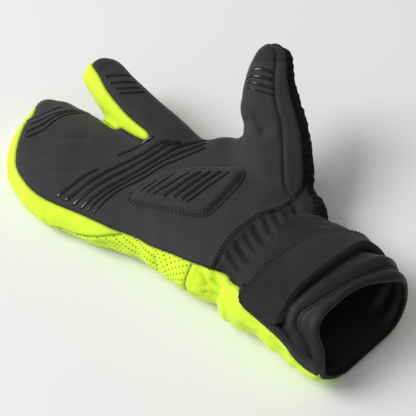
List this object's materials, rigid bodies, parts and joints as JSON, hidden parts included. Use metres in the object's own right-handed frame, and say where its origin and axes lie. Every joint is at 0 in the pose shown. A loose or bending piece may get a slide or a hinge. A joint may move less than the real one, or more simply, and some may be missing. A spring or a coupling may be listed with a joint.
{
  "type": "lobster claw mitt",
  "caption": "Right-hand lobster claw winter glove in black and neon yellow, lying palm up, with silicone grip stripes, a padded palm drop and a wide wrist strap.",
  "frame": {"origin": "middle of the bounding box at its bottom, on the surface that the back of the hand lies on", "axes": "-X towards the fingers, +X towards the cuff's mouth, +Y towards the thumb, +Z out of the palm"},
  "size_m": [0.3046, 0.1728, 0.0898],
  "materials": {
    "black_softshell": "matte",
    "yellow_softshell": "matte",
    "terry": "matte",
    "strap_suede": "matte",
    "silicone": "gloss"
  },
  "bodies": {
    "root": {"palm_panel": "black_softshell", "thumb_side": "black_softshell", "thumb_terry": "terry", "index_side": "yellow_softshell", "mitten_side": "yellow_softshell", "back_panel": "yellow_softshell", "wrist_gathers": "black_softshell", "wrist_back": "yellow_softshell", "inner_cuff": "black_softshell", "edge_binding": "black_softshell", "cuff_back": "yellow_softshell", "wrist_strap": "strap_suede", "palm_pad": "black_softshell", "palm_stripe_1": "silicone", "palm_stripe_2": "silicone", "palm_stripe_3": "silicone", "palm_stripe_4": "silicone", "palm_stripe_5": "silicone", "palm_stripe_6": "silicone", "palm_stripe_7": "silicone", "tip_stripe_1": "silicone", "tip_stripe_2": "silicone", "tip_stripe_3": "silicone", "tip_stripe_4": "silicone", "index_stripe_1": "silicone", "index_stripe_2": "silicone", "index_stripe_3": "silicone", "index_stripe_4": "silicone", "thumb_stripe_1": "silicone", "thumb_stripe_2": "silicone", "thumb_stripe_3": "silicone", "thumb_stripe_4": "silicone", "pad_stripe_1": "silicone", "pad_stripe_2": "silicone", "pad_stripe_3": "silicone", "pad_stripe_4": "silicone", "pad_stripe_5": "silicone", "pad_stripe_6": "silicone", "pad_stripe_7": "silicone"}
  },
  "joints": []
}
